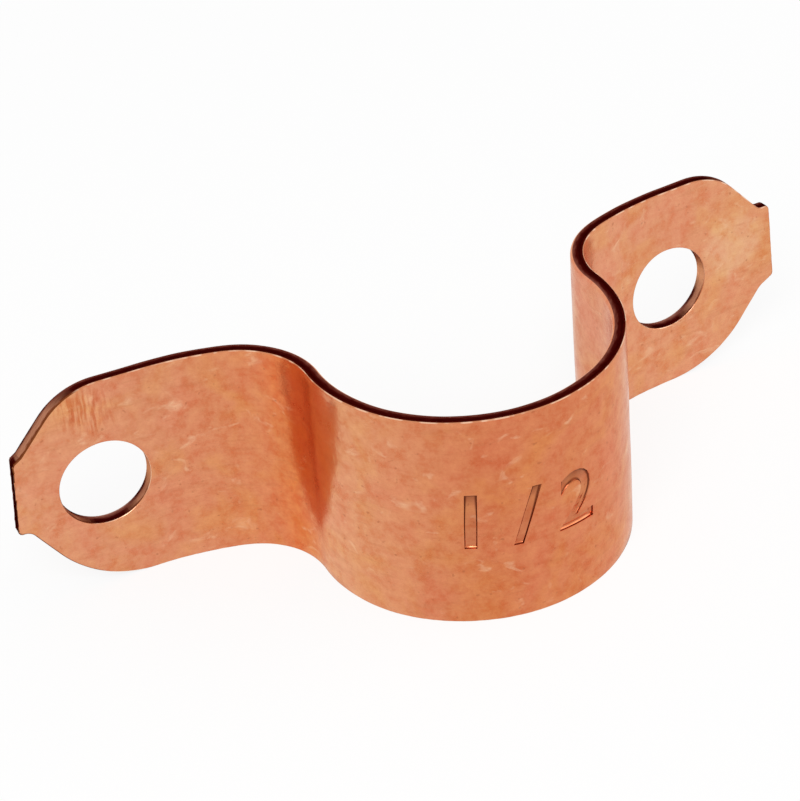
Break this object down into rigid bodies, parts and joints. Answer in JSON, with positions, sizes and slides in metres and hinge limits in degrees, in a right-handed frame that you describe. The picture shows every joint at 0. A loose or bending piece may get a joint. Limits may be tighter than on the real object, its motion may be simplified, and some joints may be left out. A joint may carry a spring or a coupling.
{
  "type": "pipe clip",
  "caption": "Copper pipe clip bent from one strip: a round arch over the tube between rounded ears that end in short tabs, each ear pierced for a screw.",
  "frame": {"origin": "on the tube's axis, at the middle of the strip's width", "axes": "+Z along the tube, +Y from the arch towards the wall, +X along the ears"},
  "size_m": [0.0472, 0.0158, 0.0126],
  "materials": {
    "copper": "satin bare copper"
  },
  "bodies": {
    "root": {"pipe_strap": "copper"}
  },
  "joints": []
}
